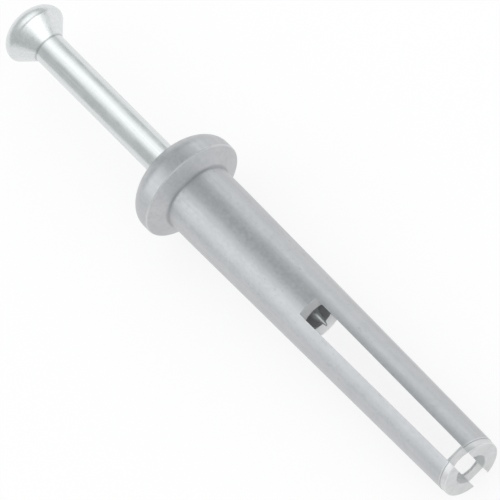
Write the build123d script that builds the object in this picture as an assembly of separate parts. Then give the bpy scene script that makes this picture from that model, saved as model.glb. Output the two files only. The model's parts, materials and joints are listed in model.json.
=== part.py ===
from build123d import *
from math import asin, atan2, cos, degrees, hypot, radians, sqrt, tan
import os

# A hammer drive anchor. A nail waits part of the way down the bore of a split casting that has a
# mushroom head. Hammer blows drive the nail on until its cone seats in the countersink of that
# head, and on the way it spreads the two legs of the casting in the drilled hole.
#
# Each piece is modelled about the axis that they share. X runs from the nail's head towards the
# split tip and is 0 in the plane of the mushroom head's widest edge, Z points out of the slot, and
# Y runs across it. The finished pieces are then laid on the ground as the anchor comes to rest.
# All lengths are in millimetres and all angles in degrees.

# Mushroom head of the casting
HEAD_DIAMETER = 9.78
HEAD_BAND = 0.88
HEAD_DOME = 2.62
HEAD_SKIRT = 0.76
HEAD_EDGE_RADIUS = 0.14
HEAD_ROOT_RADIUS = 0.22

# Shank of the casting: a parallel gauge stretch, a long taper and a parallel land at the tip
SHANK_DIAMETER = 6.35
GAUGE_LENGTH = 3.0
BODY_LENGTH = 36.25
TIP_DIAMETER = 5.69
TIP_LAND = 0.67

# Slot between the two legs, and the webs that bridge it
SLOT_LENGTH = 19.75
SLOT_START_WIDTH = 1.88
SLOT_TIP_WIDTH = 1.62
WEB_THICKNESS = 0.22
WEB_INSET = 0.03

# Nail
NAIL_DIAMETER = 2.86
NAIL_LENGTH = 38.15
NAIL_POINT_ANGLE = 28.2
NAIL_POINT_FLAT = 0.12
NAIL_HEAD_DIAMETER = 5.70
NAIL_HEAD_BAND = 0.19
NAIL_HEAD_DOME = 1.69
NAIL_CROWN_DIAMETER = 1.6
NAIL_HEAD_ANGLE = 80.0
NAIL_STANDOFF = 20.47

# Room between the nail and the casting, on the radius
BORE_CLEARANCE = 0.08
SEAT_CLEARANCE = 0.05

# How far a cutting shape reaches past the surface that it cuts
OVERCUT = 2.0

head_radius = HEAD_DIAMETER / 2
shank_radius = SHANK_DIAMETER / 2
tip_radius = TIP_DIAMETER / 2
nail_radius = NAIL_DIAMETER / 2
nail_head_radius = NAIL_HEAD_DIAMETER / 2
bore_radius = nail_radius + BORE_CLEARANCE
seat_radius = nail_head_radius + SEAT_CLEARANCE
seat_slope = tan(radians(NAIL_HEAD_ANGLE / 2))
point_slope = tan(radians(NAIL_POINT_ANGLE / 2))

# Places along the axis
head_top_x = -HEAD_BAND - HEAD_DOME
seat_mouth_x = -HEAD_BAND - HEAD_DOME * sqrt(1 - (seat_radius / head_radius) ** 2)
land_x = BODY_LENGTH - TIP_LAND
slot_x = BODY_LENGTH - SLOT_LENGTH
nail_rim_x = -NAIL_STANDOFF
nail_tip_x = nail_rim_x + NAIL_LENGTH

# The nail travels until its widest edge is level with the mouth of the countersink
NAIL_TRAVEL = seat_mouth_x - nail_rim_x


def slot_width(x):
    """Width of the tapered slot at a place along the axis."""
    share = (x - slot_x) / SLOT_LENGTH
    return SLOT_START_WIDTH + share * (SLOT_TIP_WIDTH - SLOT_START_WIDTH)


def corner_depth():
    """Depth below the axis of the four corners where the slot opens through the end face."""
    return sqrt(tip_radius**2 - (SLOT_TIP_WIDTH / 2) ** 2)


def turned(outline):
    """A solid of revolution about X, from edges drawn with X along the axis and Y as the radius."""
    return revolve(Plane.XZ * make_face(outline), Axis.X, 360)


def rounded(face, x, radius_here, rounding):
    """The same turned outline with the corner at that place and radius rounded off."""
    corner = face.vertices().sort_by_distance((x, radius_here, 0))[0]
    return fillet(corner, rounding)


def casting_blank():
    """Mushroom head and shank as one turned form, with no bore and no slot."""
    dome = EllipticalCenterArc((-HEAD_BAND, 0), HEAD_DOME, head_radius, start_angle=90, arc_size=90)
    outline = Polyline(
        (-HEAD_BAND, head_radius),
        (0, head_radius),
        (HEAD_SKIRT, shank_radius),
        (HEAD_SKIRT + GAUGE_LENGTH, shank_radius),
        (land_x, tip_radius),
        (BODY_LENGTH, tip_radius),
        (BODY_LENGTH, 0),
        (head_top_x, 0),
    )
    face = make_face([dome.edge(), *outline.edges()])
    face = rounded(face, 0, head_radius, HEAD_EDGE_RADIUS)
    face = rounded(face, HEAD_SKIRT, shank_radius, HEAD_ROOT_RADIUS)
    return revolve(Plane.XZ * face, Axis.X, 360)


def bore_and_seat():
    """What is bored out of the casting: a straight bore and the countersink for the nail's cone."""
    seat_end_x = seat_mouth_x + (seat_radius - bore_radius) / seat_slope
    outline = Polyline(
        (seat_mouth_x - OVERCUT, 0),
        (seat_mouth_x - OVERCUT, seat_radius + OVERCUT * seat_slope),
        (seat_end_x, bore_radius),
        (BODY_LENGTH + OVERCUT, bore_radius),
        (BODY_LENGTH + OVERCUT, 0),
        close=True,
    )
    return turned(outline)


def web_space():
    """The slab of the slot that stays filled, which leaves a web across it on either side."""
    height = 2 * (corner_depth() - WEB_INSET)
    place = Pos(land_x - WEB_THICKNESS / 2, 0, 0)
    return place * Box(WEB_THICKNESS, 2 * SLOT_START_WIDTH, height)


def slot_space():
    """What the slot takes out, from one side of the shank through to the other, without the webs."""
    end_x = BODY_LENGTH + OVERCUT
    half_start = slot_width(slot_x) / 2
    half_end = slot_width(end_x) / 2
    outline = Polyline(
        (slot_x, -half_start),
        (end_x, -half_end),
        (end_x, half_end),
        (slot_x, half_start),
        close=True,
    )
    return extrude(make_face(outline), shank_radius + OVERCUT, both=True) - web_space()


def make_anchor_body():
    """The casting: mushroom head, tapered shank, bore, countersink, two legs and two webs."""
    return casting_blank() - slot_space() - bore_and_seat()


def make_drive_nail():
    """The nail: domed head with a small flat crown on a cone, straight shank and sharp point."""
    head_top = nail_rim_x - NAIL_HEAD_BAND
    cone_end = nail_rim_x + (nail_head_radius - nail_radius) / seat_slope
    point_start = nail_tip_x - (nail_radius - NAIL_POINT_FLAT / 2) / point_slope
    crown_angle = asin(NAIL_CROWN_DIAMETER / NAIL_HEAD_DIAMETER)
    crown_x = head_top - NAIL_HEAD_DOME * cos(crown_angle)
    dome = EllipticalCenterArc(
        (head_top, 0),
        NAIL_HEAD_DOME,
        nail_head_radius,
        start_angle=90,
        arc_size=90 - degrees(crown_angle),
    )
    outline = Polyline(
        (head_top, nail_head_radius),
        (nail_rim_x, nail_head_radius),
        (cone_end, nail_radius),
        (point_start, nail_radius),
        (nail_tip_x, NAIL_POINT_FLAT / 2),
        (nail_tip_x, 0),
        (crown_x, 0),
        (crown_x, NAIL_CROWN_DIAMETER / 2),
    )
    return turned([dome.edge(), *outline.edges()])


def rest_tilt():
    """How far the axis dips towards the tip when the anchor lies slot down on flat ground.

    It then touches the ground with the rounded edge of its mushroom head and with the two corners
    of the slot at the tip, so the ground is the tangent from those corners to that rounding.
    """
    skirt_slant = hypot(HEAD_SKIRT, head_radius - shank_radius)
    radial_part = HEAD_SKIRT / skirt_slant
    axial_part = (head_radius - shank_radius) / skirt_slant
    rounding_x = -HEAD_EDGE_RADIUS * (1 - radial_part) / axial_part
    drop = head_radius - HEAD_EDGE_RADIUS - corner_depth()
    reach = BODY_LENGTH - rounding_x
    return degrees(atan2(drop, reach) + asin(HEAD_EDGE_RADIUS / hypot(drop, reach)))


def laid_down(pieces):
    """The pieces tilted as they rest, with the origin in the middle of the ground under them."""
    tilted = {name: Rot(0, rest_tilt(), 0) * piece for name, piece in pieces.items()}
    box = Compound(list(tilted.values())).bounding_box()
    place = Pos(-box.center().X, 0, -box.min.Z)
    return {name: place * piece for name, piece in tilted.items()}


pieces = {
    "anchor_body": make_anchor_body(),
    "drive_nail": make_drive_nail(),
}

os.makedirs("parts", exist_ok=True)
for name, piece in laid_down(pieces).items():
    piece.label = name
    export_step(piece, f"parts/{name}.step")

print(f"nail travel {NAIL_TRAVEL:.3f} mm, axis dips {rest_tilt():.3f} degrees")
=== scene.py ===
"""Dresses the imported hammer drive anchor: a split zinc casting with a mushroom head, and its drive nail.

Both pieces are modelled about X, the axis that they share, with 0 in the plane of the mushroom
head's rim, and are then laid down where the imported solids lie. Lengths are in metres.
"""

import json
import logging
import math
from collections.abc import Callable, Iterable
from dataclasses import dataclass
from enum import Enum, auto

import bmesh
import bpy
from mathutils import Matrix, Vector


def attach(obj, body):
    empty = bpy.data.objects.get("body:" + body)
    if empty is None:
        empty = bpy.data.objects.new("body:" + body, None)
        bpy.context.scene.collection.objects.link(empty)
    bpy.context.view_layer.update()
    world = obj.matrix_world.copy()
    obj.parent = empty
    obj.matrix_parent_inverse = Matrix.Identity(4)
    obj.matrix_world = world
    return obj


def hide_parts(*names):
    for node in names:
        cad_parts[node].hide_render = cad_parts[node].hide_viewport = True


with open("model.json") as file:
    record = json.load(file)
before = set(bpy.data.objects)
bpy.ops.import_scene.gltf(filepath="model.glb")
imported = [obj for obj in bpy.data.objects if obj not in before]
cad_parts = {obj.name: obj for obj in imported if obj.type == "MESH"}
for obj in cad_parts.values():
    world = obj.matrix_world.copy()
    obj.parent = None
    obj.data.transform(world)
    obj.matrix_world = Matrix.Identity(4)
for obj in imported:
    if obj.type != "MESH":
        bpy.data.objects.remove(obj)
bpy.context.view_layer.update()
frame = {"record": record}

log = logging.getLogger("anchor")

# A millimetre in metres
MM = 0.001

# How near to each other vertices are merged, and how near to a cutting plane one counts as on it
MERGE_DISTANCE = 0.001 * MM
CUT_DISTANCE = 0.0001 * MM

# How near a place counts as on a corner or a wall, and how near as on the shank's skin, where the
# flat facets lie up to 0.003 mm inside the true radius
TOUCH = 0.004 * MM
SKIN_TOUCH = 0.008 * MM

# How squarely a face looks along or across the axis when it belongs to a wall of the slot
FACING = 0.9

# Facets round a turned piece, the bevel profile that is an arc, and the largest turn shaded as smooth
LATHE_STEPS = 72
ARC_PROFILE = 0.5
SMOOTH_ANGLE = math.radians(28)

# How strongly the finer layers of noise show, and the range where most of its values lie
NOISE_ROUGHNESS = 0.55
NOISE_RANGE = (0.3, 0.7)

# Length of one wave of the wave texture
WAVE_LENGTH = math.tau / 20

# Middle of a lamp's face and the way from there to its edge, in the face's own coordinates
LAMP_MIDDLE = (0.5, 0.5, 0)
LAMP_EDGE = 0.5

# A rule says of a vertex, an edge or a face whether it is picked. A stop is a place along the axis
# and a radius. A span is the low and the high end of a range.
Rule = Callable[..., bool]
Stop = tuple[float, float]
Span = tuple[float, float]
Colour = tuple[float, float, float]
Socket = bpy.types.NodeSocket


class Body(Enum):
    """The two bodies of the frame that the pieces ride on."""

    ANCHOR = "anchor"
    NAIL = "nail"


class Slot(Enum):
    """The record's material slots."""

    CASTING = "zinc_casting"
    NAIL = "zinc_plated_steel"


class Part(Enum):
    """What is picked of a mesh, as the name of the select mode and of the mesh's own list."""

    VERTICES = ("VERT", "verts")
    EDGES = ("EDGE", "edges")
    FACES = ("FACE", "faces")


class Corner(Enum):
    """The corners of the two outlines that are turned, and one place that the casting's leads to."""

    CROWN_MIDDLE = auto()
    CROWN_EDGE = auto()
    DOME_FOOT = auto()
    RIM = auto()
    ROOT = auto()
    GAUGE_END = auto()
    LAND_SHOULDER = auto()
    LAND_FOOT = auto()
    END_EDGE = auto()
    BORE_MOUTH = auto()
    SEAT_END = auto()
    SEAT_MOUTH = auto()
    UP_THE_DOME = auto()
    POINT_START = auto()
    POINT_FLAT = auto()
    POINT_MIDDLE = auto()


class Grain(Enum):
    """How closely the marks of a finish follow each other along the axis, next to across it."""

    ALL_WAYS = 1.0
    LENGTHWISE = 0.02


class Lit(Enum):
    """Which piece a lamp shines on, besides the floor."""

    CASTING = "casting"
    NAIL = "nail"


Outline = dict[Corner, Stop]


def deselect_everything() -> None:
    """Leaves nothing selected, because an operator acts on all that is."""
    bpy.ops.object.select_all(action="DESELECT")


def make_active(piece: bpy.types.Object) -> None:
    """Selects one object alone and makes it the active one.

    Args:
        piece: The object.
    """
    deselect_everything()
    piece.select_set(True)
    bpy.context.view_layer.objects.active = piece


def named(name: str) -> bpy.types.Object:
    """Names the object that was just added, applies its place and returns it.

    Args:
        name: The object's new name, which its mesh gets too.

    Returns:
        The object, at the origin, with its place in its mesh.
    """
    piece = bpy.context.object
    piece.name = name
    piece.data.name = name
    bpy.ops.object.transform_apply(location=True, rotation=True, scale=True)
    return piece


def at(place: Vector) -> Rule:
    """Makes the rule that picks the vertices at a place."""
    return lambda vertex: (vertex.co - place).length < TOUCH


def pick(piece: bpy.types.Object, part: Part, rule: Rule) -> int:
    """Selects, in edit mode, the vertices, edges or faces that meet a rule, and nothing else.

    Args:
        piece: The mesh that is being edited.
        part: Which of the three are picked.
        rule: Says of one of them whether it is picked.

    Returns:
        How many were picked.
    """
    mode, members = part.value
    bpy.ops.mesh.select_mode(type=mode)
    bpy.ops.mesh.select_all(action="DESELECT")
    mesh = bmesh.from_edit_mesh(piece.data)
    picked = [member for member in getattr(mesh, members) if rule(member)]
    for member in picked:
        member.select_set(True)
    mesh.select_flush_mode()
    bmesh.update_edit_mesh(piece.data)
    return len(picked)


def merge_doubles(distance: float) -> None:
    """Merges all vertices of the mesh being edited that are nearer than a distance."""
    bpy.ops.mesh.select_all(action="SELECT")
    bpy.ops.mesh.remove_doubles(threshold=distance)


def keep_side(place: Iterable[float], outward: Iterable[float]) -> None:
    """Bisects all of the mesh being edited and clears what lies outward of the cut.

    Args:
        place: A point on the cutting plane.
        outward: The plane's normal, on the side that is cleared.
    """
    bpy.ops.mesh.select_all(action="SELECT")
    bpy.ops.mesh.bisect(plane_co=tuple(place), plane_no=tuple(outward), clear_outer=True,
                        threshold=CUT_DISTANCE)


def start_from_dome(name: str, foot: Stop, rise: float, top_radius: float,
                    steps: int) -> bpy.types.Object:
    """Draws a dome's outline, in the plane of X and Z, as part of an ellipse.

    Args:
        name: The new object's name.
        foot: Place along the axis and radius of the dome's foot.
        rise: How far the whole dome would rise from there.
        top_radius: The radius at which the outline stops.
        steps: How many straight edges go round the ellipse.

    Returns:
        The object, left in edit mode.
    """
    along, radius = foot
    deselect_everything()
    bpy.ops.mesh.primitive_circle_add(
        vertices=steps, radius=radius, location=(along, 0, 0), rotation=(math.pi / 2, 0, 0)
    )
    piece = named(name)
    bpy.ops.object.mode_set(mode="EDIT")
    bpy.ops.mesh.select_all(action="SELECT")
    bpy.ops.transform.resize(value=(rise / radius, 1, 1), center_override=(along, 0, 0))
    keep_side((along, 0, 0), (1, 0, 0))
    keep_side((0, 0, top_radius), (0, 0, -1))
    return piece


def draw_on(piece: bpy.types.Object, start: Stop, stops: Iterable[Stop]) -> None:
    """Extrudes an outline's end vertex from stop to stop.

    Args:
        piece: The mesh that is being edited.
        start: The stop of the vertex that the outline goes on from.
        stops: Those that follow.
    """
    here = Vector((start[0], 0, start[1]))
    pick(piece, Part.VERTICES, at(here))
    for along, radius in stops:
        there = Vector((along, 0, radius))
        bpy.ops.mesh.extrude_vertices_move(TRANSFORM_OT_translate={"value": there - here})
        here = there


@dataclass(frozen=True)
class Rounding:
    """A rounded corner: its radius, and how many straight edges make it."""

    radius: float
    segments: int


def round_corners(piece: bpy.types.Object, outline: Outline, roundings: dict[Corner, Rounding]) -> None:
    """Rounds corners of an outline, each with a bevel of its vertex.

    Args:
        piece: The mesh that is being edited.
        outline: The outline's corners, in order.
        roundings: The rounding of each corner that gets one, never the first or the last.
    """
    order = list(outline)
    places = [Vector((along, 0, radius)) for along, radius in outline.values()]
    for corner, rounding in roundings.items():
        number = order.index(corner)
        before, place, after = places[number - 1:number + 2]
        setback = rounding.radius * math.tan((place - before).angle(after - place) / 2)
        pick(piece, Part.VERTICES, at(place))
        bpy.ops.mesh.bevel(offset_type="OFFSET", offset=setback, segments=rounding.segments,
                           profile=ARC_PROFILE, affect="VERTICES", clamp_overlap=False)


def turn_about_axis() -> None:
    """Spins the outline being edited about X into a closed solid, and leaves edit mode."""
    merge_doubles(TOUCH)
    bpy.ops.mesh.spin(steps=LATHE_STEPS, angle=math.tau, center=(0, 0, 0), axis=(1, 0, 0))
    merge_doubles(MERGE_DISTANCE)
    bpy.ops.mesh.normals_make_consistent(inside=False)
    bpy.ops.object.mode_set(mode="OBJECT")


def block(name: str, low: Iterable[float], high: Iterable[float]) -> bpy.types.Object:
    """Adds a block between two corners, as the start of a cutting shape.

    Args:
        name: The new object's name.
        low: The block's lowest corner.
        high: Its highest corner.

    Returns:
        The block, in object mode.
    """
    low, high = Vector(low), Vector(high)
    deselect_everything()
    bpy.ops.mesh.primitive_cube_add(size=1, location=(low + high) / 2, scale=high - low)
    return named(name)


def cut_away(piece: bpy.types.Object, tool: bpy.types.Object) -> None:
    """Takes a cutting shape out of a piece and removes the shape.

    Args:
        piece: The solid that is cut.
        tool: The solid that is taken out of it.
    """
    make_active(piece)
    bpy.ops.object.modifier_add(type="BOOLEAN")
    cut = piece.modifiers[-1]
    cut.operation = "DIFFERENCE"
    cut.solver = "EXACT"
    cut.object = tool
    bpy.ops.object.modifier_apply(modifier=cut.name)
    bpy.data.objects.remove(tool)


def refinish(piece: bpy.types.Object, material: bpy.types.Material, rule: Rule) -> None:
    """Gives the faces that meet a rule a finish of their own.

    Args:
        piece: The piece, in object mode.
        material: The finish.
        rule: Says of a face whether it gets the finish.
    """
    make_active(piece)
    piece.data.materials.append(material)
    bpy.ops.object.mode_set(mode="EDIT")
    count = pick(piece, Part.FACES, rule)
    piece.active_material_index = len(piece.data.materials) - 1
    bpy.ops.object.material_slot_assign()
    bpy.ops.object.mode_set(mode="OBJECT")
    log.info("  %s on %d faces", material.name, count)


def open_edges(piece: bpy.types.Object) -> int:
    """Counts the edges of a mesh that don't have a face on either side.

    Args:
        piece: The mesh, in object mode.

    Returns:
        How many there are, which is 0 on a closed surface.
    """
    mesh = bmesh.new()
    mesh.from_mesh(piece.data)
    count = sum(len(edge.link_faces) != 2 for edge in mesh.edges)
    mesh.free()
    return count


@dataclass(frozen=True)
class Place:
    """Where the anchor lies: the middle of its mushroom head's rim and the way that its axis runs."""

    rim: Vector
    axis: Vector

    @classmethod
    def from_record(cls, record: dict) -> "Place":
        """Reads the place from the record.

        Args:
            record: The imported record.

        Returns:
            The place, which the mount under the mushroom head gives.
        """
        seat = next(mount for mount in record["mounts"] if mount["name"] == "head_seat")
        return cls(Vector(seat["pos_m"]), Vector(seat["axis"]).normalized())

    @property
    def tilt(self) -> float:
        """How far the axis dips, as a turn about Y in radians."""
        return math.atan2(-self.axis.z, self.axis.x)

    @property
    def upright(self) -> Vector:
        """The direction square to the axis that points out of the top of the slot."""
        return Vector((-self.axis.z, 0, self.axis.x))

    @property
    def across(self) -> Vector:
        """The level direction across the slot."""
        return Vector((0, 1, 0))

    def lay_down(self, piece: bpy.types.Object) -> None:
        """Turns and moves a piece from its own axis to where it lies, in its mesh.

        Args:
            piece: A piece modelled about X, with 0 in the plane of the mushroom head's rim.
        """
        make_active(piece)
        piece.rotation_euler = (0, self.tilt, 0)
        piece.location = self.rim
        bpy.ops.object.transform_apply(location=True, rotation=True, scale=True)


@dataclass(frozen=True)
class Noise:
    """Cloudy noise: the width of its largest marks, how many finer layers it has, and its grain."""

    size: float
    layers: float
    grain: Grain = Grain.ALL_WAYS


class NodeSheet:
    """The nodes of a material or a lamp, which are added and joined from code."""

    def __init__(self, owner: bpy.types.Material | bpy.types.Light) -> None:
        """Starts an empty sheet.

        Args:
            owner: The material or lamp that the nodes belong to.
        """
        owner.use_nodes = True
        owner.node_tree.nodes.clear()
        self.owner = owner
        self.tree = owner.node_tree

    def add(self, kind: str, inputs: dict | None = None, **settings: object) -> bpy.types.Node:
        """Adds one node.

        Args:
            kind: The node's type name.
            inputs: Values and incoming sockets, by the name or number of the node's input.
            settings: The node's own properties.

        Returns:
            The node.
        """
        node = self.tree.nodes.new(kind)
        for name, value in settings.items():
            setattr(node, name, value)
        for name, value in (inputs or {}).items():
            if isinstance(value, Socket):
                self.tree.links.new(value, node.inputs[name])
            else:
                node.inputs[name].default_value = value
        return node

    def math(self, operation: str, *values: float | Socket) -> Socket:
        """Adds a sum, product or other reckoning.

        Args:
            operation: The reckoning's type name.
            values: Numbers or sockets, in order.

        Returns:
            The result.
        """
        node = self.add("ShaderNodeMath", dict(enumerate(values)), operation=operation)
        return node.outputs[0]

    def total(self, *parts: tuple[Socket, float]) -> Socket:
        """Adds up values, each times its weight.

        Args:
            parts: A value and its weight, for each part.

        Returns:
            The sum.
        """
        first, *others = [self.math("MULTIPLY", value, weight) for value, weight in parts]
        for other in others:
            first = self.math("ADD", first, other)
        return first

    def distance(self, first: Socket, second: Socket) -> Socket:
        """Measures how far two steps at right angles to each other lead.

        Args:
            first: The length of one step.
            second: The length of the other.

        Returns:
            The distance.
        """
        squares = [self.math("MULTIPLY", step, step) for step in (first, second)]
        return self.math("SQRT", self.math("ADD", *squares))

    def spread(self, value: Socket, low: float, high: float, to_low: float, to_high: float) -> Socket:
        """Maps a range of values smoothly on to another.

        Args:
            value: The incoming value.
            low: The value that becomes to_low.
            high: The value that becomes to_high.
            to_low: The first result.
            to_high: The last result.

        Returns:
            The mapped value, which stays between the two results.
        """
        node = self.add(
            "ShaderNodeMapRange",
            {"Value": value, "From Min": low, "From Max": high, "To Min": to_low, "To Max": to_high},
            interpolation_type="SMOOTHSTEP",
        )
        return node.outputs["Result"]

    def blend(self, share: Socket, first: Colour | Socket, second: Colour) -> Socket:
        """Mixes two colours.

        Args:
            share: How much there is of the second, from 0 to 1.
            first: The colour where the share is 0, fixed or from another node.
            second: The colour where the share is 1.

        Returns:
            The mixed colour.
        """
        if not isinstance(first, Socket):
            first = (*first, 1)
        node = self.add("ShaderNodeMix", {"Factor": share, "A": first, "B": (*second, 1)},
                        data_type="RGBA")
        return node.outputs["Result"]

    def axis_places(self, place: Place) -> Socket:
        """Gives places on the piece measured from the rim's middle, with X along the axis.

        Args:
            place: Where the anchor lies.

        Returns:
            The places, in metres.
        """
        coordinates = self.add("ShaderNodeTexCoord")
        turned = self.add(
            "ShaderNodeMapping",
            {"Vector": coordinates.outputs["Object"], "Location": place.rim,
             "Rotation": (0, place.tilt, 0)},
            vector_type="TEXTURE",
        )
        return turned.outputs["Vector"]

    def noise(self, places: Socket, noise: Noise) -> Socket:
        """Adds cloudy noise.

        Args:
            places: Where on the piece, in metres.
            noise: The noise's size, layers and grain.

        Returns:
            The noise, from 0 to 1.
        """
        scale = Vector((noise.grain.value, 1, 1)) / noise.size
        drawn_out = self.add("ShaderNodeMapping", {"Vector": places, "Scale": scale})
        node = self.add(
            "ShaderNodeTexNoise",
            {"Vector": drawn_out.outputs["Vector"], "Scale": 1.0, "Detail": noise.layers,
             "Roughness": NOISE_ROUGHNESS},
        )
        return node.outputs["Fac"]

    def near_circle(self, places: Socket, circle: Stop, reach: float) -> Socket:
        """Marks the places near a circle about the axis, such as a turned edge.

        Args:
            places: Where on the piece, in metres.
            circle: The circle's place along the axis and its radius.
            reach: How far from the circle the mark has faded out.

        Returns:
            The mark, 1 on the circle and 0 past the reach.
        """
        along, radius = circle
        split = self.add("ShaderNodeSeparateXYZ", {"Vector": places})
        from_axis = self.distance(split.outputs["Z"], split.outputs["Y"])
        off_radius = self.math("SUBTRACT", from_axis, radius)
        off_plane = self.math("SUBTRACT", split.outputs["X"], along)
        return self.spread(self.distance(off_radius, off_plane), 0, reach, 1, 0)

    def surface(self, shader: Socket) -> bpy.types.Material:
        """Joins a shader to the output and returns the finished material."""
        self.add("ShaderNodeOutputMaterial", {"Surface": shader})
        return self.owner

    def metal(self, colour: Socket, roughness: Socket, height: Socket, relief: float) -> bpy.types.Material:
        """Makes a bare metal with a fine relief.

        Args:
            colour: The metal's colour.
            roughness: Its roughness.
            height: How high each place stands, in units of the relief.
            relief: The height of one unit, in metres.

        Returns:
            The finished material.
        """
        bump = self.add("ShaderNodeBump", {"Strength": 1.0, "Distance": relief, "Height": height})
        shader = self.add(
            "ShaderNodeBsdfPrincipled",
            {"Base Color": colour, "Metallic": 1.0, "Roughness": roughness,
             "Normal": bump.outputs["Normal"]},
        )
        return self.surface(shader.outputs["BSDF"])


@dataclass(frozen=True)
class WearAndShadeLine:
    """A thin line along a turned edge that handling rubs lighter as wear, and the same kind of line darker
    along a crease as painted shade.

    It fades out over its reach, and its share is how much of the finish's colour it covers at most.
    """

    colour: Colour
    reach: float
    share: float = 0.7

    def over(self, colour: Socket, sheet: NodeSheet, places: Socket, circles: Iterable[Stop]) -> Socket:
        """Lays the line over a colour, along each circle.

        Args:
            colour: The colour of the finish elsewhere.
            sheet: The finish's nodes.
            places: Where on the piece, in metres.
            circles: The edges or creases, as places along the axis and radii.

        Returns:
            The colour with the lines in it.
        """
        for circle in circles:
            mark = sheet.math("MULTIPLY", sheet.near_circle(places, circle, self.reach), self.share)
            colour = sheet.blend(mark, colour, self.colour)
        return colour


@dataclass(frozen=True)
class Circles:
    """The edges that handling rubs, and the creases that get a painted shade line, as places along the axis
    and radii.
    """

    rubbed: tuple[Stop, ...] = ()
    shaded_creases: tuple[Stop, ...] = ()


@dataclass(frozen=True)
class CastZinc:
    """Zinc alloy as it leaves the die: satin and mottled, with flow marks, a fine grain and pinholes.

    The tone's shares are those of the mottle, the flow marks and the flecks, and each height or
    depth is in units of the relief.
    """

    name: str = "cast_zinc"
    light: Colour = (0.585, 0.59, 0.605)
    dark: Colour = (0.485, 0.50, 0.515)
    mottle: Noise = Noise(1.7 * MM, 4)
    flow: Noise = Noise(0.5 * MM, 3, Grain.LENGTHWISE)
    fleck: Noise = Noise(0.3 * MM, 5)
    grain: Noise = Noise(0.11 * MM, 3)
    pinhole: Noise = Noise(0.26 * MM, 1)
    tone_shares: tuple[float, float, float] = (0.2, 0.3, 0.5)
    tone_range: Span = (0.34, 0.66)
    fleck_height: float = 0.8
    pinhole_range: Span = (0.68, 0.76)
    pinhole_shade: float = 0.8
    pinhole_depth: float = 1.4
    parting_line: float = 0.05 * MM
    parting_height: float = 0.8
    roughness: Span = (0.34, 0.5)
    relief: float = 0.0032 * MM
    rubbed_line: WearAndShadeLine = WearAndShadeLine((0.74, 0.745, 0.755), 0.16 * MM)
    # Painted shade: a dark line along the creases, where shade falls
    painted_crease_shade: WearAndShadeLine = WearAndShadeLine((0.30, 0.31, 0.32), 0.3 * MM)

    def material(self, place: Place, circles: Circles = Circles()) -> bpy.types.Material:
        """Builds the finish.

        Args:
            place: Where the anchor lies.
            circles: The rubbed edges, and the creases that get a painted shade line.

        Returns:
            The material.
        """
        sheet = NodeSheet(bpy.data.materials.new(self.name))
        places = sheet.axis_places(place)
        clouds = sheet.noise(places, self.mottle)
        flow = sheet.noise(places, self.flow)
        flecks = sheet.noise(places, self.fleck)
        grain = sheet.noise(places, self.grain)
        pinholes = sheet.spread(sheet.noise(places, self.pinhole), *self.pinhole_range, 0, 1)
        tone = sheet.total(*zip((clouds, flow, flecks), self.tone_shares))
        shade = sheet.spread(tone, *self.tone_range, 0, 1)
        shade = sheet.total((shade, 1.0), (pinholes, -self.pinhole_shade))
        colour = sheet.blend(shade, self.dark, self.light)
        colour = self.rubbed_line.over(colour, sheet, places, circles.rubbed)
        # Painted shade darkens the colour along the creases
        colour = self.painted_crease_shade.over(colour, sheet, places, circles.shaded_creases)
        split = sheet.add("ShaderNodeSeparateXYZ", {"Vector": places})
        off_plane = sheet.math("ABSOLUTE", split.outputs["Z"])
        ridge = sheet.spread(off_plane, 0, self.parting_line, 1, 0)
        height = sheet.total((grain, 1.0), (flecks, self.fleck_height), (ridge, self.parting_height),
                             (pinholes, -self.pinhole_depth))
        roughness = sheet.spread(flecks, *NOISE_RANGE, *self.roughness)
        return sheet.metal(colour, roughness, height, self.relief)


@dataclass(frozen=True)
class TrimmedZinc:
    """The same alloy where the tip was trimmed on a lathe: brighter, with fine rings.

    The tone's shares are those of the rings and the clouds.
    """

    name: str = "trimmed_zinc"
    light: Colour = (0.70, 0.705, 0.71)
    dark: Colour = (0.60, 0.605, 0.61)
    ring: float = 0.11 * MM
    ring_waver: float = 1.6
    ring_layers: float = 2
    cloud: Noise = Noise(0.6 * MM, 3)
    grain: Noise = Noise(0.1 * MM, 2)
    tone_shares: tuple[float, float] = (0.2, 0.8)
    tone_range: Span = (0.25, 0.75)
    grain_height: float = 1.0
    roughness: Span = (0.32, 0.42)
    relief: float = 0.0012 * MM
    rubbed_line: WearAndShadeLine = WearAndShadeLine((0.86, 0.865, 0.87), 0.1 * MM)
    # Painted shade: a dark line along the creases, standing in for the shadow of the step
    painted_crease_shade: WearAndShadeLine = WearAndShadeLine((0.36, 0.37, 0.38), 0.12 * MM)

    def material(self, place: Place, circles: Circles) -> bpy.types.Material:
        """Builds the finish.

        Args:
            place: Where the anchor lies.
            circles: The rubbed edges, and the creases that get a painted shade line.

        Returns:
            The material.
        """
        sheet = NodeSheet(bpy.data.materials.new(self.name))
        places = sheet.axis_places(place)
        clouds = sheet.noise(places, self.cloud)
        grain = sheet.noise(places, self.grain)
        scaled = sheet.add("ShaderNodeVectorMath", {0: places, "Scale": WAVE_LENGTH / self.ring},
                           operation="SCALE")
        wave = sheet.add(
            "ShaderNodeTexWave",
            {"Vector": scaled.outputs["Vector"], "Scale": 1.0, "Distortion": self.ring_waver,
             "Detail": self.ring_layers},
            wave_type="RINGS", rings_direction="X",
        )
        rings = wave.outputs["Fac"]
        tone = sheet.total(*zip((rings, clouds), self.tone_shares))
        colour = sheet.blend(sheet.spread(tone, *self.tone_range, 0, 1), self.dark, self.light)
        colour = self.rubbed_line.over(colour, sheet, places, circles.rubbed)
        # Painted shade darkens the colour along the creases
        colour = self.painted_crease_shade.over(colour, sheet, places, circles.shaded_creases)
        height = sheet.total((rings, 1.0), (grain, self.grain_height))
        roughness = sheet.spread(grain, *NOISE_RANGE, *self.roughness)
        return sheet.metal(colour, roughness, height, self.relief)


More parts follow.
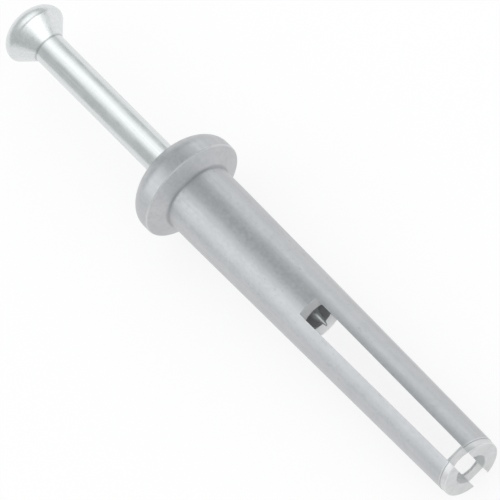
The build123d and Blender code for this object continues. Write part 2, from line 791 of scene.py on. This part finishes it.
@dataclass(frozen=True)
class PlatedSteel:
    """Bright zinc plating on steel: smooth, a little blue, with the fine lines of drawn wire.

    The tone's shares are those of the lines, the clouds and the specks.
    """

    name: str = "plated_steel"
    light: Colour = (0.79, 0.81, 0.815)
    dark: Colour = (0.69, 0.715, 0.72)
    line: Noise = Noise(0.11 * MM, 3, Grain.LENGTHWISE)
    cloud: Noise = Noise(1.3 * MM, 3)
    speck: Noise = Noise(0.22 * MM, 3)
    tone_shares: tuple[float, float, float] = (0.5, 0.3, 0.2)
    tone_range: Span = (0.38, 0.62)
    speck_height: float = 0.5
    roughness: Span = (0.24, 0.34)
    relief: float = 0.0007 * MM
    # Painted shade: a dark line along the crease under the head, where shade falls
    painted_crease_shade: WearAndShadeLine = WearAndShadeLine((0.40, 0.42, 0.43), 0.2 * MM)

    def material(self, place: Place, shaded_creases: Iterable[Stop]) -> bpy.types.Material:
        """Builds the finish.

        Args:
            place: Where the anchor lies.
            shaded_creases: The creases that get a painted shade line, as places along the axis and radii.

        Returns:
            The material.
        """
        sheet = NodeSheet(bpy.data.materials.new(self.name))
        places = sheet.axis_places(place)
        lines = sheet.noise(places, self.line)
        clouds = sheet.noise(places, self.cloud)
        specks = sheet.noise(places, self.speck)
        tone = sheet.total(*zip((lines, clouds, specks), self.tone_shares))
        colour = sheet.blend(sheet.spread(tone, *self.tone_range, 0, 1), self.dark, self.light)
        # Painted shade darkens the colour along the crease
        colour = self.painted_crease_shade.over(colour, sheet, places, shaded_creases)
        height = sheet.total((lines, 1.0), (specks, self.speck_height))
        roughness = sheet.spread(clouds, *NOISE_RANGE, *self.roughness)
        return sheet.metal(colour, roughness, height, self.relief)


@dataclass
class AnchorCasting:
    """The casting: mushroom head, tapered shank, bore, countersink, two legs and two webs."""

    place: Place
    head_radius: float = 4.89 * MM
    head_band: float = 0.88 * MM
    head_dome: float = 2.62 * MM
    head_skirt: float = 0.76 * MM
    dome_steps: int = 160
    shank_radius: float = 3.175 * MM
    gauge_length: float = 3.0 * MM
    body_length: float = 36.25 * MM
    tip_radius: float = 2.845 * MM
    tip_land: float = 0.67 * MM
    land_shoulder: float = 0.035 * MM
    slot_length: float = 19.75 * MM
    slot_start_width: float = 1.88 * MM
    slot_tip_width: float = 1.62 * MM
    slot_break: float = 0.022 * MM
    slot_break_steps: int = 2
    web_thickness: float = 0.22 * MM
    web_inset: float = 0.03 * MM
    bore_radius: float = 1.51 * MM
    seat_radius: float = 2.90 * MM
    seat_angle: float = math.radians(80.0)
    overcut: float = 2.0 * MM
    rim_rounding: Rounding = Rounding(0.14 * MM, 6)
    root_rounding: Rounding = Rounding(0.22 * MM, 6)
    tip_rounding: Rounding = Rounding(0.07 * MM, 3)
    seat_rounding: Rounding = Rounding(0.1 * MM, 4)
    finish: CastZinc = CastZinc()
    tip_finish: TrimmedZinc = TrimmedZinc()
    # Painted light: the bore and slot get a much lighter zinc colour so that they read light despite the
    # shade inside; the rougher satin is the real cored surface
    cored_finish_painted_light: CastZinc = CastZinc(name="cored_zinc", light=(0.86, 0.865, 0.87),
                                      dark=(0.80, 0.805, 0.81), roughness=(0.62, 0.74))

    @property
    def seat_mouth(self) -> float:
        """Where the countersink opens through the dome."""
        share = math.sqrt(1 - (self.seat_radius / self.head_radius) ** 2)
        return -self.head_band - self.head_dome * share

    @property
    def land_start(self) -> float:
        """Where the land at the tip starts, which is the front of the webs."""
        return self.body_length - self.tip_land

    @property
    def slot_start(self) -> float:
        """Where the slot starts."""
        return self.body_length - self.slot_length

    @property
    def web_reach(self) -> float:
        """How far the webs stand out from the axis: to the slot's corners at the tip, less the inset."""
        return math.sqrt(self.tip_radius**2 - (self.slot_tip_width / 2) ** 2) - self.web_inset

    def slot_half_width(self, along: float) -> float:
        """Half of the tapered slot's width at a place along the axis."""
        share = (along - self.slot_start) / self.slot_length
        return (self.slot_start_width + share * (self.slot_tip_width - self.slot_start_width)) / 2

    def outer_radius(self, along: float) -> float:
        """Gives the shank's radius, without the shoulder at the land.

        Args:
            along: A place along the axis.

        Returns:
            The radius there.
        """
        gauge_end = self.head_skirt + self.gauge_length
        share = (along - gauge_end) / (self.land_start - gauge_end)
        return self.shank_radius + max(0.0, min(1.0, share)) * (self.tip_radius - self.shank_radius)

    def corners(self) -> Outline:
        """The outline's corners from the dome's foot round the tip and back through the bore.

        Returns:
            Place along the axis and radius of each corner, in order.
        """
        seat_depth = (self.seat_radius - self.bore_radius) / math.tan(self.seat_angle / 2)
        land_radius = self.tip_radius - self.land_shoulder
        return {
            Corner.DOME_FOOT: (-self.head_band, self.head_radius),
            Corner.RIM: (0, self.head_radius),
            Corner.ROOT: (self.head_skirt, self.shank_radius),
            Corner.GAUGE_END: (self.head_skirt + self.gauge_length, self.shank_radius),
            Corner.LAND_SHOULDER: (self.land_start, self.tip_radius),
            Corner.LAND_FOOT: (self.land_start + self.land_shoulder, land_radius),
            Corner.END_EDGE: (self.body_length, land_radius),
            Corner.BORE_MOUTH: (self.body_length, self.bore_radius),
            Corner.SEAT_END: (self.seat_mouth + seat_depth, self.bore_radius),
            Corner.SEAT_MOUTH: (self.seat_mouth, self.seat_radius),
        }

    def up_the_dome(self) -> Outline:
        """Gives a place that the outline leads to from the countersink's mouth.

        Returns:
            The place, on the line that touches the dome at that mouth.
        """
        share = self.seat_radius / self.head_radius
        slope = self.head_dome * share / (self.head_radius * math.sqrt(1 - share**2))
        along = self.seat_mouth + slope * (self.head_radius - self.seat_radius)
        return {Corner.UP_THE_DOME: (along, self.head_radius)}

    def turned_blank(self) -> bpy.types.Object:
        """Draws the outline and spins it.

        Returns:
            The casting with its bore and countersink and without its slot, in object mode.
        """
        corners = self.corners()
        foot, *others = corners.values()
        piece = start_from_dome("anchor_casting", foot, self.head_dome, self.seat_radius,
                                self.dome_steps)
        draw_on(piece, foot, others)
        merge_doubles(TOUCH)
        roundings = {
            Corner.RIM: self.rim_rounding,
            Corner.ROOT: self.root_rounding,
            Corner.END_EDGE: self.tip_rounding,
            Corner.BORE_MOUTH: self.tip_rounding,
            Corner.SEAT_MOUTH: self.seat_rounding,
        }
        round_corners(piece, corners | self.up_the_dome(), roundings)
        turn_about_axis()
        return piece

    def slot_cutter(self) -> bpy.types.Object:
        """Makes the tapered block that the slot is cut with, less the slab that stays as webs.

        Returns:
            The cutting shape, in object mode.
        """
        end = self.body_length + self.overcut
        half_start = self.slot_half_width(self.slot_start)
        reach = self.shank_radius + self.overcut
        tool = block("slot_cutter", (self.slot_start, -half_start, -reach), (end, half_start, reach))
        bpy.ops.object.mode_set(mode="EDIT")
        pick(tool, Part.VERTICES, lambda vertex: vertex.co.x > end - TOUCH)
        taper = self.slot_half_width(end) / half_start
        bpy.ops.transform.resize(value=(1, taper, 1), center_override=(end, 0, 0))
        bpy.ops.object.mode_set(mode="OBJECT")
        web_back = self.land_start - self.web_thickness
        past_walls = self.slot_start_width
        cut_away(tool, block("web_space", (web_back, -past_walls, -self.web_reach),
                             (self.land_start, past_walls, self.web_reach)))
        return tool

    def at_slot_mouth(self, spot: Vector) -> bool:
        """Says whether a place is where a wall of the slot meets the shank's skin.

        Args:
            spot: The place.

        Returns:
            Whether it is there, and not on the land.
        """
        off_wall = abs(abs(spot.y) - self.slot_half_width(spot.x))
        off_skin = abs(math.hypot(spot.y, spot.z) - self.outer_radius(spot.x))
        return spot.x < self.land_start + TOUCH and off_wall < TOUCH and off_skin < SKIN_TOUCH

    def is_slot_mouth(self, edge: bmesh.types.BMEdge) -> bool:
        """Says whether an edge is one of the long ones where the slot opens through the shank."""
        return all(self.at_slot_mouth(vertex.co) for vertex in edge.verts)

    def soften_slot(self, piece: bpy.types.Object) -> None:
        """Breaks the sharp long edges of the slot.

        Args:
            piece: The casting with its slot, in object mode.
        """
        make_active(piece)
        bpy.ops.object.mode_set(mode="EDIT")
        merge_doubles(MERGE_DISTANCE)
        count = pick(piece, Part.EDGES, self.is_slot_mouth)
        bpy.ops.mesh.bevel(offset=self.slot_break, segments=self.slot_break_steps, profile=ARC_PROFILE)
        merge_doubles(MERGE_DISTANCE)
        bpy.ops.object.mode_set(mode="OBJECT")
        log.info("  softened %d slot edges", count)

    def is_cored(self, face: bmesh.types.BMFace) -> bool:
        """Says whether a face was shaped by a core of the die.

        Args:
            face: A face of the casting, still about X.

        Returns:
            Whether it is a wall of the bore or of the slot.
        """
        middle = face.calc_center_median()
        in_bore = math.hypot(middle.y, middle.z) < self.bore_radius + TOUCH
        off_wall = abs(abs(middle.y) - self.slot_half_width(middle.x))
        on_wall = middle.x > self.slot_start and off_wall < TOUCH and abs(face.normal.y) > FACING
        at_end = abs(middle.x - self.slot_start) < TOUCH and face.normal.x > FACING
        return in_bore or on_wall or at_end

    def is_trimmed(self, face: bmesh.types.BMFace) -> bool:
        """Says whether a face was reached by the tool that trimmed the tip.

        Args:
            face: A face of the casting, still about X.

        Returns:
            Whether it is on the land, the end face or a web, and not cored.
        """
        middle = face.calc_center_median()
        on_land = middle.x > self.land_start - TOUCH
        near_land = middle.x > self.land_start - self.web_thickness - TOUCH
        in_slot = abs(middle.y) < self.slot_half_width(middle.x) - TOUCH
        on_web = near_land and in_slot and abs(middle.z) > self.bore_radius
        return (on_land or on_web) and not self.is_cored(face)

    def dress(self, piece: bpy.types.Object) -> None:
        """Gives the skin its cast finish, the tip the trimmed one, and the bore and slot the cored one,
        lighter in colour as painted light against the shade inside.

        Args:
            piece: The casting, still about X.
        """
        corners = self.corners()
        # The root and the land's foot get painted shade lines; the rim, shoulder, seat mouth and end edge
        # get rubbed wear
        skin = Circles(
            rubbed=(corners[Corner.RIM], corners[Corner.LAND_SHOULDER], corners[Corner.SEAT_MOUTH]),
            shaded_creases=(corners[Corner.ROOT],),
        )
        tip = Circles(rubbed=(corners[Corner.END_EDGE],), shaded_creases=(corners[Corner.LAND_FOOT],))
        piece.data.materials.append(self.finish.material(self.place, skin))
        refinish(piece, self.tip_finish.material(self.place, tip), self.is_trimmed)
        # Painted light: the lighter cored colour offsets the shade in the bore and slot
        refinish(piece, self.cored_finish_painted_light.material(self.place), self.is_cored)

    def build(self) -> bpy.types.Object:
        """Models, dresses and places the casting.

        Returns:
            The finished piece, riding on its body.
        """
        piece = self.turned_blank()
        cut_away(piece, self.slot_cutter())
        self.soften_slot(piece)
        self.dress(piece)
        bpy.ops.object.shade_smooth_by_angle(angle=SMOOTH_ANGLE)
        self.place.lay_down(piece)
        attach(piece, Body.ANCHOR.value)
        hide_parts("anchor_body")
        return piece


@dataclass
class DriveNail:
    """The nail: domed head with a flat crown on a cone, straight shank and sharp point."""

    place: Place
    shank_radius: float = 1.43 * MM
    length: float = 38.15 * MM
    point_angle: float = math.radians(28.2)
    point_flat: float = 0.06 * MM
    head_radius: float = 2.85 * MM
    head_angle: float = math.radians(80.0)
    head_band: float = 0.19 * MM
    head_dome: float = 1.69 * MM
    crown_radius: float = 0.8 * MM
    dome_steps: int = 128
    standoff: float = 20.47 * MM
    crown_rounding: Rounding = Rounding(0.3 * MM, 4)
    rim_rounding: Rounding = Rounding(0.38 * MM, 4)
    root_rounding: Rounding = Rounding(0.12 * MM, 4)
    point_rounding: Rounding = Rounding(0.5 * MM, 4)
    finish: PlatedSteel = PlatedSteel()

    def corners(self) -> Outline:
        """The outline's corners from the crown round the head's edge to the point.

        Returns:
            Place along the axis and radius of each corner, in order.
        """
        rim = -self.standoff
        foot = rim - self.head_band
        crown = foot - self.head_dome * math.sqrt(1 - (self.crown_radius / self.head_radius) ** 2)
        cone_length = (self.head_radius - self.shank_radius) / math.tan(self.head_angle / 2)
        tip = rim + self.length
        point_length = (self.shank_radius - self.point_flat) / math.tan(self.point_angle / 2)
        return {
            Corner.CROWN_MIDDLE: (crown, 0),
            Corner.CROWN_EDGE: (crown, self.crown_radius),
            Corner.DOME_FOOT: (foot, self.head_radius),
            Corner.RIM: (rim, self.head_radius),
            Corner.ROOT: (rim + cone_length, self.shank_radius),
            Corner.POINT_START: (tip - point_length, self.shank_radius),
            Corner.POINT_FLAT: (tip, self.point_flat),
            Corner.POINT_MIDDLE: (tip, 0),
        }

    def build(self) -> bpy.types.Object:
        """Models, dresses and places the nail.

        Returns:
            The finished piece, riding on its body.
        """
        corners = self.corners()
        crown_middle, crown_edge, foot, *others = corners.values()
        piece = start_from_dome("drive_nail_plated", foot, self.head_dome, self.crown_radius,
                                self.dome_steps)
        draw_on(piece, foot, others)
        draw_on(piece, crown_edge, [crown_middle])
        roundings = {
            Corner.CROWN_EDGE: self.crown_rounding,
            Corner.RIM: self.rim_rounding,
            Corner.ROOT: self.root_rounding,
            Corner.POINT_START: self.point_rounding,
        }
        round_corners(piece, corners, roundings)
        turn_about_axis()
        # The nail's root crease gets a painted shade line
        piece.data.materials.append(self.finish.material(self.place, [corners[Corner.ROOT]]))
        bpy.ops.object.shade_smooth_by_angle(angle=SMOOTH_ANGLE)
        self.place.lay_down(piece)
        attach(piece, Body.NAIL.value)
        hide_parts("drive_nail")
        return piece


@dataclass(frozen=True)
class Lamp:
    """One square lamp that fades towards its edges.

    The way to it from the rim's middle runs along the anchor's axis, up out of the slot and across
    the slot. The level says how bright its face is, whatever its size.
    """

    name: str
    along: float
    up: float
    across: float
    size: float
    level: float
    lit: Lit
    colour: Colour = (1.0, 0.985, 0.99)


@dataclass
class Studio:
    """A plain pale floor, an even surround and large soft lamps."""

    place: Place
    floor_size: float = 8.0
    floor_colour: Colour = (0.9, 0.9, 0.9)
    floor_white: float = 0.82
    surround_colour: Colour = (0.96, 1.0, 1.0)
    surround: float = 0.62
    lamp_distance: float = 1.5
    lamps: tuple[Lamp, ...] = (
        Lamp("left_softbox", along=-0.44, up=0.64, across=-0.63, size=3.2, level=0.9, lit=Lit.CASTING),
        Lamp("right_low_softbox", along=-0.44, up=0.26, across=0.86, size=1.8, level=0.8, lit=Lit.CASTING),
        Lamp("front_low_softbox", along=0.95, up=0.3, across=0.0, size=1.8, level=0.8, lit=Lit.CASTING),
        Lamp("right_softbox", along=-0.44, up=0.83, across=0.34, size=3.6, level=0.8, lit=Lit.NAIL),
        Lamp("front_softbox", along=0.78, up=0.51, across=0.36, size=2.9, level=1.3, lit=Lit.NAIL),
    )

    def floor(self) -> bpy.types.Object:
        """Makes the floor, which the camera and the metal see as white, with the shadow on it.

        Returns:
            The floor.
        """
        deselect_everything()
        bpy.ops.mesh.primitive_plane_add(size=self.floor_size)
        ground = named("floor")
        sheet = NodeSheet(bpy.data.materials.new("floor_white"))
        path = sheet.add("ShaderNodeLightPath")
        mirrored = sheet.math("MAXIMUM", path.outputs["Is Glossy Ray"], path.outputs["Is Transmission Ray"])
        seen = sheet.math("MAXIMUM", path.outputs["Is Camera Ray"], mirrored)
        share = sheet.math("MULTIPLY", seen, self.floor_white)
        matt = sheet.add("ShaderNodeBsdfDiffuse", {"Color": (*self.floor_colour, 1)})
        white = sheet.add("ShaderNodeEmission", {"Color": (1, 1, 1, 1), "Strength": 1.0})
        mixed = sheet.add("ShaderNodeMixShader", {0: share, 1: matt.outputs[0], 2: white.outputs[0]})
        ground.data.materials.append(sheet.surface(mixed.outputs[0]))
        return ground

    def world(self) -> None:
        """Sets the even surround."""
        world = bpy.data.worlds.new("surround")
        world.use_nodes = True
        background = world.node_tree.nodes["Background"]
        background.inputs["Color"].default_value = (*self.surround_colour, 1)
        background.inputs["Strength"].default_value = self.surround
        bpy.context.scene.world = world

    def hang(self, lamp: Lamp, lit: list[bpy.types.Object]) -> None:
        """Adds a lamp that faces the anchor.

        Args:
            lamp: The lamp's place, size and level.
            lit: The objects that it lights.
        """
        place = self.place
        away = lamp.along * place.axis + lamp.up * place.upright + lamp.across * place.across
        away.normalize()
        deselect_everything()
        bpy.ops.object.light_add(type="AREA", location=place.rim + self.lamp_distance * away)
        light = bpy.context.object
        light.name = lamp.name
        light.rotation_euler = away.to_track_quat("Z", "Y").to_euler()
        light.data.shape = "SQUARE"
        light.data.size = lamp.size
        light.data.color = lamp.colour
        light.data.energy = lamp.level * math.pi * lamp.size**2
        light.visible_camera = False
        sheet = NodeSheet(light.data)
        spot = sheet.add("ShaderNodeNewGeometry")
        off_middle = sheet.add("ShaderNodeVectorMath", {0: spot.outputs["Parametric"], 1: LAMP_MIDDLE},
                               operation="DISTANCE")
        strength = sheet.spread(off_middle.outputs["Value"], 0, LAMP_EDGE, 1, 0)
        glow = sheet.add("ShaderNodeEmission", {"Strength": strength})
        sheet.add("ShaderNodeOutputLight", {"Surface": glow.outputs[0]})
        receivers = bpy.data.collections.new(f"lit_by_{lamp.name}")
        for piece in lit:
            receivers.objects.link(piece)
        light.light_linking.receiver_collection = receivers
        log.info("%s: %.2f m across, level %.2f, lights the %s", lamp.name, lamp.size, lamp.level,
                 lamp.lit.value)

    def build(self, casting: bpy.types.Object, nail: bpy.types.Object) -> None:
        """Sets up the floor, the surround and the lamps.

        Args:
            casting: The casting.
            nail: The nail.
        """
        ground = self.floor()
        self.world()
        pieces = {Lit.CASTING: casting, Lit.NAIL: nail}
        for lamp in self.lamps:
            self.hang(lamp, [pieces[lamp.lit], ground])
        bpy.context.scene.view_settings.view_transform = "Standard"


@dataclass
class PhotoCamera:
    """A long lens that looks down on the tip, with the axis running to the picture's lower right.

    The lens and the sensor are in millimetres. The view is centred on a place along the axis from
    the rim's middle, with a small step across.
    """

    place: Place
    lens: float = 1500.0
    sensor: float = 36.0
    axis_angle: float = math.radians(63.6)
    view_width: float = 41.34 * MM
    middle: float = 7.69 * MM
    side_step: float = -0.083 * MM
    far: float = 20.0

    def build(self) -> bpy.types.Object:
        """Adds the camera and makes it the scene's.

        Returns:
            The camera.
        """
        axis, up, across = self.place.axis, self.place.upright, self.place.across
        back = math.cos(self.axis_angle) * axis + math.sin(self.axis_angle) * up
        down_axis = math.sin(self.axis_angle) * axis - math.cos(self.axis_angle) * up
        right = (across + down_axis).normalized()
        top = (across - down_axis).normalized()
        target = self.place.rim + self.middle * axis + self.side_step * across
        distance = self.lens * self.view_width / self.sensor
        deselect_everything()
        bpy.ops.object.camera_add()
        camera = bpy.context.object
        turn = Matrix((right, top, back)).transposed().to_4x4()
        camera.matrix_world = Matrix.Translation(target + distance * back) @ turn
        camera.data.lens = self.lens
        camera.data.sensor_width = self.sensor
        camera.data.clip_end = self.far
        bpy.context.scene.camera = camera
        return camera


def report(piece: bpy.types.Object) -> None:
    """Logs a finished piece's faces and whether its surface is closed."""
    log.info("%s: %d faces, %d open edges", piece.name, len(piece.data.polygons), open_edges(piece))


def main() -> None:
    """Builds the casting, the nail, the studio and the camera, and reports each piece."""
    logging.basicConfig(level=logging.INFO, format="%(message)s")
    place = Place.from_record(frame["record"])
    casting = AnchorCasting(place).build()
    report(casting)
    nail = DriveNail(place).build()
    report(nail)
    Studio(place).build(casting, nail)
    PhotoCamera(place).build()


if __name__ == "__main__":
    main()
